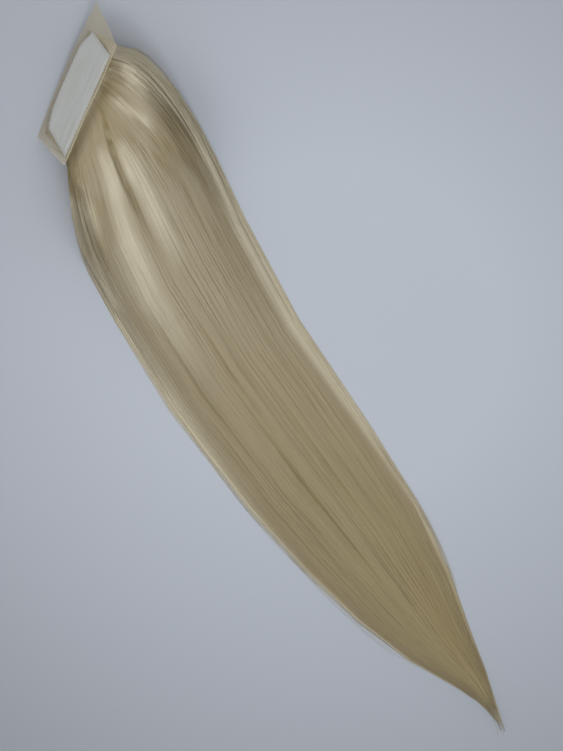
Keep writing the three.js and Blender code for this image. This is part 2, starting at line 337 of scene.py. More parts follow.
def tubes(paths, radii, flatness=1.0):
    """Points and faces of closed three-sided tubes along paths (tube, point, 3) with radii (tube, point).
    A flatness below 1 makes them lower than wide."""
    count, steps = radii.shape
    tangent = unit(np.gradient(paths, axis=1))
    side = unit(np.cross(tangent, UP))
    out = np.cross(side, tangent)
    ring = np.cos(TUBE_TURNS)[:, None] * side[:, :, None]
    ring = ring + flatness * np.sin(TUBE_TURNS)[:, None] * out[:, :, None]
    points = paths[:, :, None] + ring * radii[:, :, None, None]
    index = np.arange(count * steps * 3).reshape(count, steps, 3)
    here, there = index[:, :-1], index[:, 1:]
    around = np.roll(index, -1, axis=2)
    walls = np.stack([here, around[:, :-1], around[:, 1:], there], -1).reshape(-1, 4)
    caps = np.concatenate([index[:, 0, ::-1], index[:, -1]])
    return points.reshape(-1, 3), walls.tolist() + caps.tolist()


# ---------------------------------------------------------------- materials


def new_material(name):
    material = bpy.data.materials.new(name)
    material.use_nodes = True
    tree = material.node_tree
    return material, tree, tree.nodes["Principled BSDF"]


def add(tree, kind, inputs=None, **settings):
    """A node with its settings and inputs. An input is a value, or a socket to link."""
    node = tree.nodes.new(kind)
    for key, value in settings.items():
        setattr(node, key, value)
    for key, value in (inputs or {}).items():
        if isinstance(value, bpy.types.NodeSocket):
            tree.links.new(value, node.inputs[key])
        else:
            node.inputs[key].default_value = value
    return node


def ramp(tree, factor, stops):
    """A colour ramp's colour output. stops are (place, colour)."""
    node = add(tree, "ShaderNodeValToRGB", {"Fac": factor})
    elements = node.color_ramp.elements
    while len(elements) < len(stops):
        elements.new(0.5)
    for element, (place, colour) in zip(elements, stops):
        element.position = place
        element.color = (*colour, 1)
    return node.outputs["Color"]


def multiplied(tree, first, second):
    """The product of two colours. The node's inputs go by number, since their names occur more than once."""
    inputs = {0: 1.0, 6: first, 7: second}
    node = add(tree, "ShaderNodeMix", inputs, data_type="RGBA", blend_type="MULTIPLY")
    return node.outputs[2]


def uv_of(tree):
    return add(tree, "ShaderNodeUVMap", uv_map=UV_NAME).outputs["UV"]


def stretched_noise(tree, uv, across, along, detail=2.0):
    """Noise drawn out along the piece: so many patches across it and so many along it."""
    placed = add(tree, "ShaderNodeMapping", {"Vector": uv, "Scale": (across, along, 1)})
    noise = add(
        tree,
        "ShaderNodeTexNoise",
        {"Vector": placed.outputs["Vector"], "Scale": 1.0, "Detail": detail, "Roughness": 0.55},
        noise_dimensions="2D",
    )
    return noise.outputs["Fac"]


def scaled(tree, value, low, high, start=0.0, end=1.0):
    """A value brought from the range between start and end to the range between low and high."""
    inputs = {"Value": value, "From Min": start, "From Max": end, "To Min": low, "To Max": high}
    return add(tree, "ShaderNodeMapRange", inputs).outputs["Result"]


def add_bump(tree, shader, height, strength, depth):
    """Fine relief on the shader, a depth in millimetres high."""
    inputs = {"Height": height, "Strength": strength, "Distance": depth * MM}
    bump = add(tree, "ShaderNodeBump", inputs)
    tree.links.new(bump.outputs["Normal"], shader.inputs["Normal"])


def grey(value):
    return (value, value, value)


# The hair's colours at no painted shade, at its plain painted shade and at full painted shade, and the
# streaks that multiply them.
PLAIN_PAINTED_SHADE = 0.35
HAIR_COLOURS = [(0.51, 0.435, 0.3), (0.302, 0.237, 0.134), (0.237, 0.172, 0.068)]
FINE_STREAKS = [(0.3, grey(0.95)), (0.7, grey(1.04))]
BROAD_STREAKS = [(0.3, (0.94, 0.93, 0.9)), (0.7, (1.04, 1.05, 1.08))]
BROAD_STREAKS_ACROSS = 18
TOP_STREAKS_ACROSS, UNDER_STREAKS_ACROSS = 700, 300
HAIR_ROUGHNESS = 0.22, 0.3
TAIL_DULLER, DULLER_WAYS = 0.45, (0.4, 0.58)
HAIR_SPECULAR, HAIR_IOR = 0.5, 1.55
HAIR_BUMP = 0.1, 0.1  # strength, and depth in millimetres


def hair_material(name, streaks_across):
    """Hair whose colour runs from pale to dark with its painted shade and painted light, with fine and broad
    streaks along it. It is duller towards its tail."""
    material, tree, shader = new_material(name)
    uv = uv_of(tree)
    # The painted shade and painted light of each point, read from the mesh.
    shade = add(tree, "ShaderNodeAttribute", attribute_name=PAINTED_SHADE_NAME).outputs["Fac"]
    body = ramp(tree, shade, list(zip((0.0, PLAIN_PAINTED_SHADE, 1.0), HAIR_COLOURS)))
    fine = ramp(tree, stretched_noise(tree, uv, streaks_across, 0.9), FINE_STREAKS)
    broad = ramp(tree, stretched_noise(tree, uv, BROAD_STREAKS_ACROSS, 0.7), BROAD_STREAKS)
    colour = multiplied(tree, multiplied(tree, body, fine), broad)
    tree.links.new(colour, shader.inputs["Base Color"])
    way = add(tree, "ShaderNodeSeparateXYZ", {"Vector": uv}).outputs["Y"]
    duller = scaled(tree, way, 0.0, TAIL_DULLER, *DULLER_WAYS)
    rough = scaled(tree, stretched_noise(tree, uv, streaks_across / 2, 1.5), *HAIR_ROUGHNESS)
    rough = add(tree, "ShaderNodeMath", {0: rough, 1: duller})
    tree.links.new(rough.outputs["Value"], shader.inputs["Roughness"])
    add_bump(tree, shader, stretched_noise(tree, uv, streaks_across * 1.5, 2), *HAIR_BUMP)
    shader.inputs["Specular IOR Level"].default_value = HAIR_SPECULAR
    shader.inputs["IOR"].default_value = HAIR_IOR
    return material


SILK_COLOURS = [(0.3, (0.43, 0.42, 0.378)), (0.5, (0.46, 0.453, 0.423)), (0.72, (0.482, 0.479, 0.46))]
SILK_WEAVE = [(0.0, grey(0.93)), (1.0, grey(1.04))]
SILK_ROUGHNESS = 0.45, 0.6
SILK_SHEEN, SILK_SHEEN_ROUGHNESS = 0.25, 0.4
SILK_BUMP = 0.25, 0.1


def silk_material():
    """Pale cloth with fine threads across it and soft streaks along it."""
    material, tree, shader = new_material("silk")
    uv = uv_of(tree)
    streaks = stretched_noise(tree, uv, 0.03, 0.4, 3.0)
    threads = add(
        tree,
        "ShaderNodeTexWave",
        {"Vector": uv, "Scale": 1.1, "Distortion": 0.6, "Detail": 1.0},
        bands_direction="X",
    ).outputs["Fac"]
    colour = ramp(tree, streaks, SILK_COLOURS)
    weave = ramp(tree, threads, SILK_WEAVE)
    tree.links.new(multiplied(tree, colour, weave), shader.inputs["Base Color"])
    add_bump(tree, shader, threads, *SILK_BUMP)
    tree.links.new(scaled(tree, streaks, *SILK_ROUGHNESS), shader.inputs["Roughness"])
    shader.inputs["Sheen Weight"].default_value = SILK_SHEEN
    shader.inputs["Sheen Roughness"].default_value = SILK_SHEEN_ROUGHNESS
    return material


# Light and dark colour of the threads.
LACE_COLOURS = (0.69, 0.605, 0.45), (0.54, 0.465, 0.325)
STITCH_COLOURS = (0.5, 0.46, 0.38), (0.36, 0.32, 0.24)
THREAD_ROUGHNESS = 0.7, 0.9
THREAD_BUMP = 0.3, 0.05


def thread_material(name, light, dark):
    """Twisted thread with a little colour variation along it."""
    material, tree, shader = new_material(name)
    uv = uv_of(tree)
    patches = stretched_noise(tree, uv, 0.25, 0.25, 3.0)
    tree.links.new(ramp(tree, patches, [(0.32, dark), (0.68, light)]), shader.inputs["Base Color"])
    twist = stretched_noise(tree, uv, 6, 6, 1.0)
    add_bump(tree, shader, twist, *THREAD_BUMP)
    tree.links.new(scaled(tree, twist, *THREAD_ROUGHNESS), shader.inputs["Roughness"])
    return material


# The floor's colours, and the painted light falloff that darkens it from its middle outwards, over distances
# in metres.
FLOOR_COLOURS = [(0.3, (0.43, 0.443, 0.48)), (0.7, (0.444, 0.455, 0.492))]
FLOOR_LIGHT_MIDDLE = (0.225, 0.055, 0.0)
FLOOR_PAINTED_FALLOFF = [(0.12, grey(1.0)), (0.5, grey(0.52))]
FLOOR_ROUGHNESS, FLOOR_SPECULAR = 0.85, 0.2


def floor_material():
    """Pale backdrop paper, painted a little darker away from its middle, as if the light fell off."""
    material, tree, shader = new_material("floor")
    place = add(tree, "ShaderNodeTexCoord").outputs["Object"]
    cloud = add(tree, "ShaderNodeTexNoise", {"Vector": place, "Scale": 3.0, "Detail": 2.0})
    paper = ramp(tree, cloud.outputs["Fac"], FLOOR_COLOURS)
    # Painted light falloff: the paper is darker the further it is from the middle of the light.
    away = add(tree, "ShaderNodeVectorMath", {0: place, 1: FLOOR_LIGHT_MIDDLE}, operation="DISTANCE")
    fade = ramp(tree, away.outputs["Value"], FLOOR_PAINTED_FALLOFF)
    tree.links.new(multiplied(tree, paper, fade), shader.inputs["Base Color"])
    shader.inputs["Roughness"].default_value = FLOOR_ROUGHNESS
    shader.inputs["Specular IOR Level"].default_value = FLOOR_SPECULAR
    return material


# ---------------------------------------------------------------- base


def lower_edge(x):
    """The lower edge's height in the base's plane."""
    share = x / BASE_LENGTH
    return -4 * LOWER_BELLY * share * (1 - share)


LOWER_POINTS = 13


def lace_outline():
    along = np.linspace(0, BASE_LENGTH, LOWER_POINTS)
    lower = [(x, lower_edge(x)) for x in along]
    return np.array(lower + [(RAISED_END, BASE_DEPTH), (RAISED_START, BASE_DEPTH)])


def silk_outline():
    start, end = SQUARE_LOWER, BASE_LENGTH - SLANT_LOWER
    raised = BASE_DEPTH - RAISED_BORDER
    along = np.linspace(start + SQUARE_CORNER_ALONG, end - SLANT_CORNER_ALONG, LOWER_POINTS)
    lower = [(x, lower_edge(x) + LOWER_BORDER) for x in along]
    rest = [
        (end, lower_edge(end) + LOWER_BORDER + SLANT_CORNER_UP),
        (RAISED_END - SLANT_RAISED, raised),
        (RAISED_START + SQUARE_RAISED, raised),
        (start, lower_edge(start) + LOWER_BORDER + SQUARE_CORNER_UP),
    ]
    return np.array(lower + rest)


def walk(outline, step):
    """Points at about even steps round a closed outline, its corners among them."""
    points = []
    for here, there in zip(outline, np.roll(outline, -1, axis=0)):
        parts = max(1, round(np.linalg.norm(there - here) / step))
        points += [mix(here, there, k / parts) for k in range(parts)]
    return np.array(points)


def inside(outline, points):
    """Whether points lie in a convex outline that turns anticlockwise."""
    following = np.roll(outline, -1, axis=0)
    edge = following - outline
    offset = points[:, None] - outline
    return np.all(edge[:, 0] * offset[..., 1] - edge[:, 1] * offset[..., 0] >= 0, axis=1)


NET_PITCH = 1.1
NET_THREAD = 0.145
THREAD_SHARES = 0.85, 1.15  # thinnest and thickest thread
SHORTEST_THREAD = 0.05
CUT_STEPS = 12
RIM_THREAD = 0.22
RIM_STEP = 1.0
LACE_HEIGHT = -0.5
WAVE_HEIGHT = 0.35
WAVE_LENGTHS = 9.0, 7.0  # along and up, for each radian


def cut_off(outline, first, last):
    """The last ends of threads, moved to the outline where the thread leaves it."""
    leaves = inside(outline, first) & ~inside(outline, last)
    near, far = first.copy(), last.copy()
    for _ in range(CUT_STEPS):
        half = (near + far) / 2
        within = inside(outline, half)[:, None]
        near, far = np.where(within, half, near), np.where(within, far, half)
    return np.where(leaves[:, None], near, last)


def net_edges(outline):
    """The threads of a hexagonal net, cut off at an outline, as arrays of first and last ends."""
    reach = NET_PITCH / math.sqrt(3)
    low, high = outline.min(0) - NET_PITCH, outline.max(0) + NET_PITCH
    columns = np.arange(low[0], high[0], NET_PITCH)
    lines = np.arange(low[1], high[1], 1.5 * reach)
    x, y = np.meshgrid(columns, lines)
    x = x + np.where(np.arange(len(lines)) % 2, NET_PITCH / 2, 0)[:, None]
    middle = np.stack([x.ravel(), y.ravel()], -1)
    turns = np.radians([30, 150, 270])
    spokes = np.stack([np.cos(turns), np.sin(turns)], -1) * reach
    first = np.repeat(middle, 3, axis=0)
    last = (middle[:, None] + spokes).reshape(-1, 2)
    last = cut_off(outline, first, last)
    first = cut_off(outline, last, first)
    kept = inside(outline, first) & inside(outline, last)
    kept = kept & (np.linalg.norm(first - last, axis=1) > SHORTEST_THREAD)
    return first[kept], last[kept]


def on_lace(flat):
    """Places of the lace, which waves softly, since nothing pulls it quite flat."""
    x, y = flat[..., 0], flat[..., 1]
    wave_along, wave_up = WAVE_LENGTHS
    waves = WAVE_HEIGHT * np.sin(x / wave_along + 0.7) * np.sin(y / wave_up + 0.3)
    return np.stack([x, y, LACE_HEIGHT + waves], -1)


def lace_net(material):
    outline = lace_outline()
    ends = np.stack(net_edges(outline), 1)
    random = np.random.default_rng(3)
    radii = NET_THREAD * random.uniform(*THREAD_SHARES, (len(ends), 1)) * np.ones((1, 2))
    net, faces = tubes(on_lace(ends), radii)
    rim = walk(outline, RIM_STEP)
    rim = np.vstack([rim, rim[:1]])
    rim, rim_faces = tubes(on_lace(rim)[None], np.full((1, len(rim)), RIM_THREAD))
    faces += [[k + len(net) for k in face] for face in rim_faces]
    own = np.vstack([net, rim])
    piece = make_mesh("lace_net", material, on_base(*own.T), faces, own[:, :2] / BASE_LENGTH)
    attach(piece, "root")
    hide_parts("lace_base")
    return piece


# Heights in the base's own frame, whose worn side is the lower one. The rims are shares of the way inwards.
SILK_HEIGHT = -1.5
SILK_EDGE_HEIGHT = -0.95
RIPPLE_HEIGHT, FINE_RIPPLE_HEIGHT, PUCKER_HEIGHT = 0.05, 0.03, 0.1
PILLOW_RIM, RIPPLE_RIM, PUCKER_RIM = 0.16, 0.1, 0.06
SILK_CLOTH = 0.3
SILK_RINGS = 34
SILK_STEP = 1.4


def silk_height(x, y, inwards):
    """The silk's height over the lace: pillowed, with lengthwise ripples and puckers at the sewn edge."""
    pillow = mix(SILK_EDGE_HEIGHT, SILK_HEIGHT, smooth(inwards / PILLOW_RIM))
    ripples = RIPPLE_HEIGHT * np.sin(y * 0.8 + 0.8 * np.sin(x / 17.0))
    ripples = ripples + FINE_RIPPLE_HEIGHT * np.sin(y * 1.9 + x / 21.0 + 1.0)
    puckers = PUCKER_HEIGHT * np.sin(1.9 * (x + 0.6 * y)) * np.exp(-inwards / PUCKER_RIM)
    return pillow + ripples * smooth(inwards / RIPPLE_RIM) + puckers


def cloth_faces(around, rings, count):
    """Faces of two layers, each a middle point and rings round it, joined at the last ring."""
    faces = []
    for k in range(around):
        after = (k + 1) % around
        faces.append([0, 1 + after, 1 + k])
        faces.append([count, count + 1 + k, count + 1 + after])
        for ring in range(rings - 1):
            a, b = 1 + ring * around + k, 1 + ring * around + after
            faces.append([a, b, b + around, a + around])
            faces.append([count + a, count + a + around, count + b + around, count + b])
        a, b = count - around + k, count - around + after
        faces.append([a, b, count + b, count + a])
    return faces


def silk_sheet(material):
    rim = walk(silk_outline(), SILK_STEP)
    middle = rim.mean(0)
    shares = np.linspace(0, 1, SILK_RINGS + 1)[1:]
    flat = np.vstack([middle[None]] + [mix(middle, rim, share) for share in shares])
    inwards = np.concatenate([[1.0], np.repeat(1 - shares, len(rim))])
    height = silk_height(flat[:, 0], flat[:, 1], inwards)
    worn = np.column_stack([flat, height - SILK_CLOTH / 2])
    under = np.column_stack([flat, height + SILK_CLOTH / 2])
    own = np.vstack([worn, under])
    faces = cloth_faces(len(rim), SILK_RINGS, len(flat))
    piece = make_mesh("silk_sheet", material, on_base(*own.T), faces, own[:, :2])
    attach(piece, "root")
    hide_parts("silk_panel")
    return piece


# A stitch and the gap after it are STITCH_STEP long, and the seam has STITCH_PARTS points in that length. The
# stitch goes through the first few, one for each of its shares.
STITCH_STEP = 3.6
STITCH_PARTS = 6
STITCH_SHARES = np.array([0, 0.25, 0.5, 0.75, 1])
STITCH_RADII = 0.22 * np.array([0.5, 1, 1, 1, 0.5])
STITCH_BOW = 0.14
STITCH_INSET = 0.965


def silk_stitches(material):
    """Running stitches just inside the silk's edge, each a short bowed thread."""
    outline = silk_outline()
    middle = walk(outline, SILK_STEP).mean(0)
    seam = mix(middle, walk(outline, STITCH_STEP / STITCH_PARTS), STITCH_INSET)
    last = len(STITCH_SHARES) - 1
    starts = np.arange(0, len(seam) - last, STITCH_PARTS)
    flat = seam[starts[:, None] + np.arange(last + 1)]
    bow = STITCH_BOW * np.sin(np.pi * STITCH_SHARES)
    rise = silk_height(flat[..., 0], flat[..., 1], 1 - STITCH_INSET) - SILK_CLOTH / 2 - bow
    radii = STITCH_RADII * np.ones((len(starts), 1))
    points, faces = tubes(np.concatenate([flat, rise[..., None]], -1), radii)
    piece = make_mesh("silk_stitches", material, on_base(*points.T), faces, points[:, :2])
    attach(piece, "root")
    return piece


# ---------------------------------------------------------------- hair


# Painted shade: how much darker the hair is made at its roots, in the shade behind the raised edge, for a
# millimetre of a valley's depth, in the shade between the locks, and at its tail, which the highlight misses.
# A lock that stands out, with less than no depth, gets a painted highlight. Painted light: how much lighter
# it is made at its thin edges and the hump's end. The tip's and the tail edges' factors take back shares of
# two of these.
ROOT_PAINTED_SHADE, ROOT_FADE = 0.45, (0.055, 0.07)
VALLEY_PAINTED_SHADE, VALLEY_LIMITS = 0.34, (-0.9, 1.8)
TAIL_PAINTED_SHADE, TAIL_FADE = 0.36, (0.42, 0.34)
TIP_PAINTED_LIGHT, TIP_FADE = 2.0, (0.88, 0.08)
EDGE_PAINTED_LIGHT, EDGE_FADE, EDGE_START = 0.4, (0.72, 0.25), (0.1, 0.1)
TAIL_EDGE_LESS_PAINTED_LIGHT, TAIL_EDGE_FADE = 0.55, (0.45, 0.2)
HUMP_PAINTED_LIGHT, HUMP_FADE, HUMP_END = 0.8, (0.75, 0.2), (0.1, 0.06)


def painted_shade_of(way, across):
    """Painted shade of the hair at a place, from 0 to 1: at its roots, in its valleys and towards its tail.
    """
    # Painted shade at the roots, which lie in the shade behind the raised edge.
    shade = PLAIN_PAINTED_SHADE + ROOT_PAINTED_SHADE * (1 - faded(way, ROOT_FADE))
    # Painted shade in the valleys between the locks, and a painted highlight on the locks that stand out.
    shade = shade + VALLEY_PAINTED_SHADE * np.clip(valley_depth(way, across), *VALLEY_LIMITS)
    # Painted shade towards the tail, which the highlight misses, and painted light at the thin tip.
    shade = shade + TAIL_PAINTED_SHADE * faded(way, TAIL_FADE) * (1 - TIP_PAINTED_LIGHT * faded(way, TIP_FADE))
    # Painted light at the thin edges, as if light shone through them, with less of it towards the tail.
    edges = EDGE_PAINTED_LIGHT * faded(np.abs(across), EDGE_FADE) * faded(way, EDGE_START)
    shade = shade - edges * (1 - TAIL_EDGE_LESS_PAINTED_LIGHT * faded(way, TAIL_EDGE_FADE))
    # Painted light at the hump's end wall.
    shade = shade - HUMP_PAINTED_LIGHT * faded(across, HUMP_FADE) * (1 - faded(way, HUMP_END))
    # Painted shade and painted highlight in patches.
    for amount, patch_way, patch_across, length, width in PAINTED_LIGHT_PATCHES:
        away = ((way - patch_way) / length) ** 2 + ((across - patch_across) * spread(way) / width) ** 2
        shade = shade + amount * np.exp(-away)
    return np.clip(shade, 0, 1)


# The mass under the strands: how deep it is sunk in the bent hair and in the tail, and how wide it is there
# as a share of the strands. Its columns crowd towards its edges, and its top comes down at the tip.
BODY_RINGS = 150
BODY_COLUMNS = 72
BODY_CROWDING = 1.8
BODY_SUNK, TAIL_SUNK = 2.0, 2.8
BODY_REACH, TAIL_REACH = 0.965, 0.86
LYING_FADE = (0.42, 0.2)
BODY_ROOT_HEIGHTS = 0.9, 0.02
BODY_END = 0.955
BODY_TAPER = 0.12
# Painted shade added to the mass under the strands, which shows in the gaps between them.
BODY_PAINTED_SHADE = 0.05
UNDERSIDE_SHIFT = 0.98  # moves the streaks of the underside
FLOOR_GAP = 0.25


def body_points(across, is_top, way, steps):
    """The points of the mass in rings of its top and its underside, and where across they are."""
    lying = faded(way, LYING_FADE)
    narrowed = reached(way, across * mix(BODY_REACH, TAIL_REACH, lying))
    place = mix(across * ROOT_REACH, narrowed, settled(way))
    crest = profile(across * np.ones_like(way), way)
    top = flow(way, place, crest, mix(BODY_SUNK, TAIL_SUNK, lying) + valley_depth(way, place))
    low = flow(way, place, np.zeros_like(way))
    top[..., 2] = np.maximum(top[..., 2], low[..., 2] + 2 * FLOOR_GAP)
    top = mix(low + FLOOR_GAP * UP, top, smooth((1 - steps) / BODY_TAPER)[..., None])
    points = np.where(is_top[:, None], top, low + FLOOR_GAP * UP)
    points[..., 2] = np.maximum(points[..., 2], FLOOR_GAP)
    behind = np.minimum(off_base(points) - ROOT_GAP, 0)
    return points - behind[..., None] * BASE_AXES[:, 2], place


def ring_faces(rings, around):
    """The faces of a closed tube of rings, with its two ends."""
    faces = []
    for ring in range(rings):
        for k in range(around):
            a, b = ring * around + k, ring * around + (k + 1) % around
            faces.append([a, b, b + around, a + around])
    faces.append(list(range(around))[::-1])
    faces.append([rings * around + k for k in range(around)])
    return faces


def hair_body(material):
    """The closed mass under the strands, which keeps the light from passing through."""
    steps = np.linspace(0, 1, BODY_RINGS + 1)[:, None]
    turn = np.linspace(-1, 1, BODY_COLUMNS)
    across = np.sign(turn) * (1 - (1 - np.abs(turn)) ** BODY_CROWDING)
    across = np.concatenate([across, across[::-1]])
    is_top = np.arange(len(across)) < BODY_COLUMNS
    top_height, low_height = BODY_ROOT_HEIGHTS
    root_crest = top_height * profile(across, np.full_like(across, FAN_START))
    roots = root_way(across * ROOT_REACH, np.where(is_top, root_crest, low_height))
    way = mix(roots, BODY_END, steps)
    points, place = body_points(across, is_top, way, steps)
    share = (place + 1) / 2 * np.where(is_top, 1, UNDERSIDE_SHIFT)
    uvs = np.stack([share, way], -1).reshape(-1, 2)
    shade = np.clip(painted_shade_of(way, place) + BODY_PAINTED_SHADE, 0, 1)
    faces = ring_faces(BODY_RINGS, len(across))
    piece = make_mesh("hair_body", material, points.reshape(-1, 3), faces, uvs, shade)
    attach(piece, "root")
    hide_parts("hair")


# The ways of a strand's points, closer together in its bent part, and the least way between the last point
# that all strands share and a strand's own end.
BENT_END = 0.3
BENT_STATIONS = BENT_END * np.linspace(0, 1, 12) ** 1.2
STATIONS = np.concatenate([BENT_STATIONS, [0.37, 0.47, 0.57], np.linspace(0.64, 1, 6)])
LAST_GAP = 0.03
ROOT_PROFILE_WAY = 0.05

# Strands are drawn together in clumps, wander by millimetres over so many waves, and thin at both ends.
CLUMPS = 90
CLUMP_PULL, CLUMP_FADE = 0.22, (0.08, 0.3)
WANDER, WANDER_WAVES = (0.1, 0.7), (0.4, 1.2)
NARROWEST = 12
ROOT_THIN, TIP_THIN = 0.7, 0.25
ROOT_THIN_END, TIP_THIN_FADE = 0.15, (0.8, 0.2)


def rooted(lying):
    """Where across the root a strand starts that lies at a place across."""
    side = np.where(lying > FAN_MIDDLE, 1 - FAN_MIDDLE, 1 + FAN_MIDDLE)
    away = (lying - FAN_MIDDLE) / side
    return FAN_MIDDLE + side * (FAN_SLOPE * away + (1 - FAN_SLOPE) * away**3)


def strand_ways(starts, ends):
    """The ways of the strands' points. They are the same for all, so that neighbours bend alike, but for the
    bent part, which starts at each strand's root, and the last points, which go evenly to its end."""
    bent = mix(starts[:, None], BENT_END, STATIONS / BENT_END)
    ways = np.where(STATIONS < BENT_END, bent, STATIONS)
    kept = np.sum(STATIONS < ends[:, None] - LAST_GAP, axis=1)
    share = (np.arange(len(STATIONS)) - kept[:, None] + 1) / (len(STATIONS) - kept[:, None])
    drawn = mix(STATIONS[kept - 1][:, None], ends[:, None], share)
    return np.where(share > 0, drawn, ways)


def along(values, ways, wanted):
    """The values at wanted ways, on straight lines between those at each strand's own ways. So a strand that
    ends early lies on the same lines as its neighbours."""
    after = np.sum(ways[:, None] < wanted[..., None], axis=2)
    after = np.clip(after, 1, ways.shape[1] - 1)
    strand = np.arange(len(ways))[:, None]
    here, there = ways[strand, after - 1], ways[strand, after]
    share = ((wanted - here) / (there - here))[..., None]
    return mix(values[strand, after - 1], values[strand, after], share)


def lying_across(random, root, lying, way):
    """Where across the strands are at each way, from their roots to where they lie."""
    fan = smooth((way - FAN_START) / (FAN_END - FAN_START))
    middles = np.sort(random.uniform(-1, 1, CLUMPS))
    nearest = np.abs(lying[:, None] - middles).argmin(1)
    pull = random.uniform(0.0, CLUMP_PULL, CLUMPS)[nearest][:, None] * faded(way, CLUMP_FADE)
    pulled = mix(lying[:, None], middles[nearest][:, None], pull)
    each = (len(lying), 1)
    apart = random.uniform(*WANDER, each)
    waves = random.uniform(*WANDER_WAVES, each)
    wander = apart * np.sin(2 * np.pi * (waves * way + random.uniform(0, 1, each)))
    across = mix(root[:, None], pulled, fan) + wander * fan / np.maximum(spread(way), NARROWEST)
    edge = np.maximum(1, np.abs(lying))[:, None]
    return np.clip(across, -edge, edge), fan


def strand_paths(random, lying, ends, sunk, root_height=None):
    """The strands' paths, ways and places across, for where across each one lies, the way of its end and how
    deep it is sunk. With root heights they leave the root below its crest, and come up to it."""
    root = rooted(lying)
    if root_height is not None:
        root = np.sign(root) * np.minimum(np.abs(root), ROOT_REACH)
    height = profile(root, np.full(len(root), ROOT_PROFILE_WAY)) if root_height is None else root_height
    starts = root_way(root, height)
    way = strand_ways(starts, np.ones(len(lying)))
    across, fan = lying_across(random, root, lying, way)
    surface = profile(across, way)
    across = mix(across, reached(way, across), settled(way))
    share = surface if root_height is None else mix(root_height[:, None], surface, fan)
    points = flow(way, across, share, sunk[:, None] + valley_depth(way, across))
    cut = strand_ways(starts, ends)
    return along(points, way, cut), cut, along(across[..., None], way, cut)[..., 0]


def tapered(radii):
    """Radii along the strands, from their radii at their thickest."""
    shape = mix(ROOT_THIN, 1, smooth(STATIONS / ROOT_THIN_END))
    shape = shape * mix(1, TIP_THIN, faded(STATIONS, TIP_THIN_FADE))
    return radii[:, None] * shape


LEAST_FLOOR_GAP = 0.02
STRAND_COLUMNS = np.array([0.15, 0.5, 0.85])


def strand_piece(name, material, paths, way, across, radii, painted_light=0.0):
    """A piece of strands, with a narrow column of the material's streaks for each one."""
    paths[..., 2] = np.maximum(paths[..., 2], radii + LEAST_FLOOR_GAP)
    order = np.argsort(across[:, -1])
    paths, way, across, radii = paths[order], way[order], across[order], radii[order]
    points, faces = tubes(paths, radii, STRAND_FLATNESS)
    count = len(paths)
    column = (np.arange(count)[:, None, None] + STRAND_COLUMNS) / count
    u = column * np.ones((1, way.shape[1], 1))
    v = way[..., None] * np.ones(3)
    uvs = np.stack([u, v], -1).reshape(-1, 2)
    # Painted light, where given, takes away from the painted shade.
    shade = np.maximum(painted_shade_of(way, across) - painted_light, 0)[..., None] * np.ones(3)
    piece = make_mesh(name, material, points, faces, uvs, shade.ravel())
    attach(piece, "root")


# Each pair is the least and the most. How far before the tip the top strands end is the sum of two draws,
# each from nothing to a spread and crowded by a power.
STRAND_RADIUS = 0.24
TOP_PARTS = 4
TOP_STRANDS = 1320  # in each part
TOP_RADII = 0.75, 1.25
TOP_SUNK = 0.5
TIP_SPREAD, TIP_POWER = 0.07, 0.2
EARLY_SPREAD, EARLY_POWER = 0.4, 1.5


def top_strands(material):
    """The strands of the surface, in parts side by side. Most end near the tip, and a few well before it."""
    random = np.random.default_rng(11)
    for part in range(TOP_PARTS):
        low = -1 + part * 2 / TOP_PARTS
        lying = random.uniform(low, low + 2 / TOP_PARTS, TOP_STRANDS)
        ends = 1 - TIP_SPREAD * random.uniform(0, 1, TOP_STRANDS) ** TIP_POWER
        ends -= EARLY_SPREAD * random.uniform(0, 1, TOP_STRANDS) ** EARLY_POWER
        sunk = TOP_SUNK * random.uniform(0, 1, TOP_STRANDS)
        paths, way, across = strand_paths(random, lying, ends, sunk)
        radii = tapered(STRAND_RADIUS * random.uniform(*TOP_RADII, TOP_STRANDS))
        strand_piece(f"hair_strands_{part + 1}", material, paths, way, across, radii)


SIDE_STRANDS = 800
SIDE_LYING = 0.78, 1.0
SIDE_END, SIDE_END_SPREAD = 0.98, 0.35
SIDE_SUNK = 0.0, 0.6
SIDE_HEIGHTS = 0.03, 0.96
SIDE_RADII = 0.7, 1.1


def side_strands(material):
    """Strands of the root's end walls, which run under the others to the edges of the lying hair."""
    random = np.random.default_rng(12)
    side = np.where(np.arange(SIDE_STRANDS) % 2, 1, -1)
    lying = side * random.uniform(*SIDE_LYING, SIDE_STRANDS)
    ends = SIDE_END - SIDE_END_SPREAD * random.uniform(0, 1, SIDE_STRANDS) ** 2
    sunk = random.uniform(*SIDE_SUNK, SIDE_STRANDS)
    height = random.uniform(*SIDE_HEIGHTS, SIDE_STRANDS)
    paths, way, across = strand_paths(random, lying, ends, sunk, height)
    radii = tapered(STRAND_RADIUS * random.uniform(*SIDE_RADII, SIDE_STRANDS))
    strand_piece("hair_edge_strands", material, paths, way, across, radii)


FRINGE_STRANDS = 170
FRINGE_RADIUS = 0.17
FRINGE_RADII = 0.7, 1.2
# Painted light on the fringe, lighter as if light shone through its thin hair.
FRINGE_PAINTED_LIGHT = 0.3
FRINGE_ON_RIGHT = 0.62
FRINGE_LYING, FRINGE_POWER = (0.97, 1.09), 1.3
FRINGE_ENDS = 0.5, 0.99
FRINGE_SUNK = 0.0, 0.4
FRINGE_HEIGHTS = 0.05, 0.9


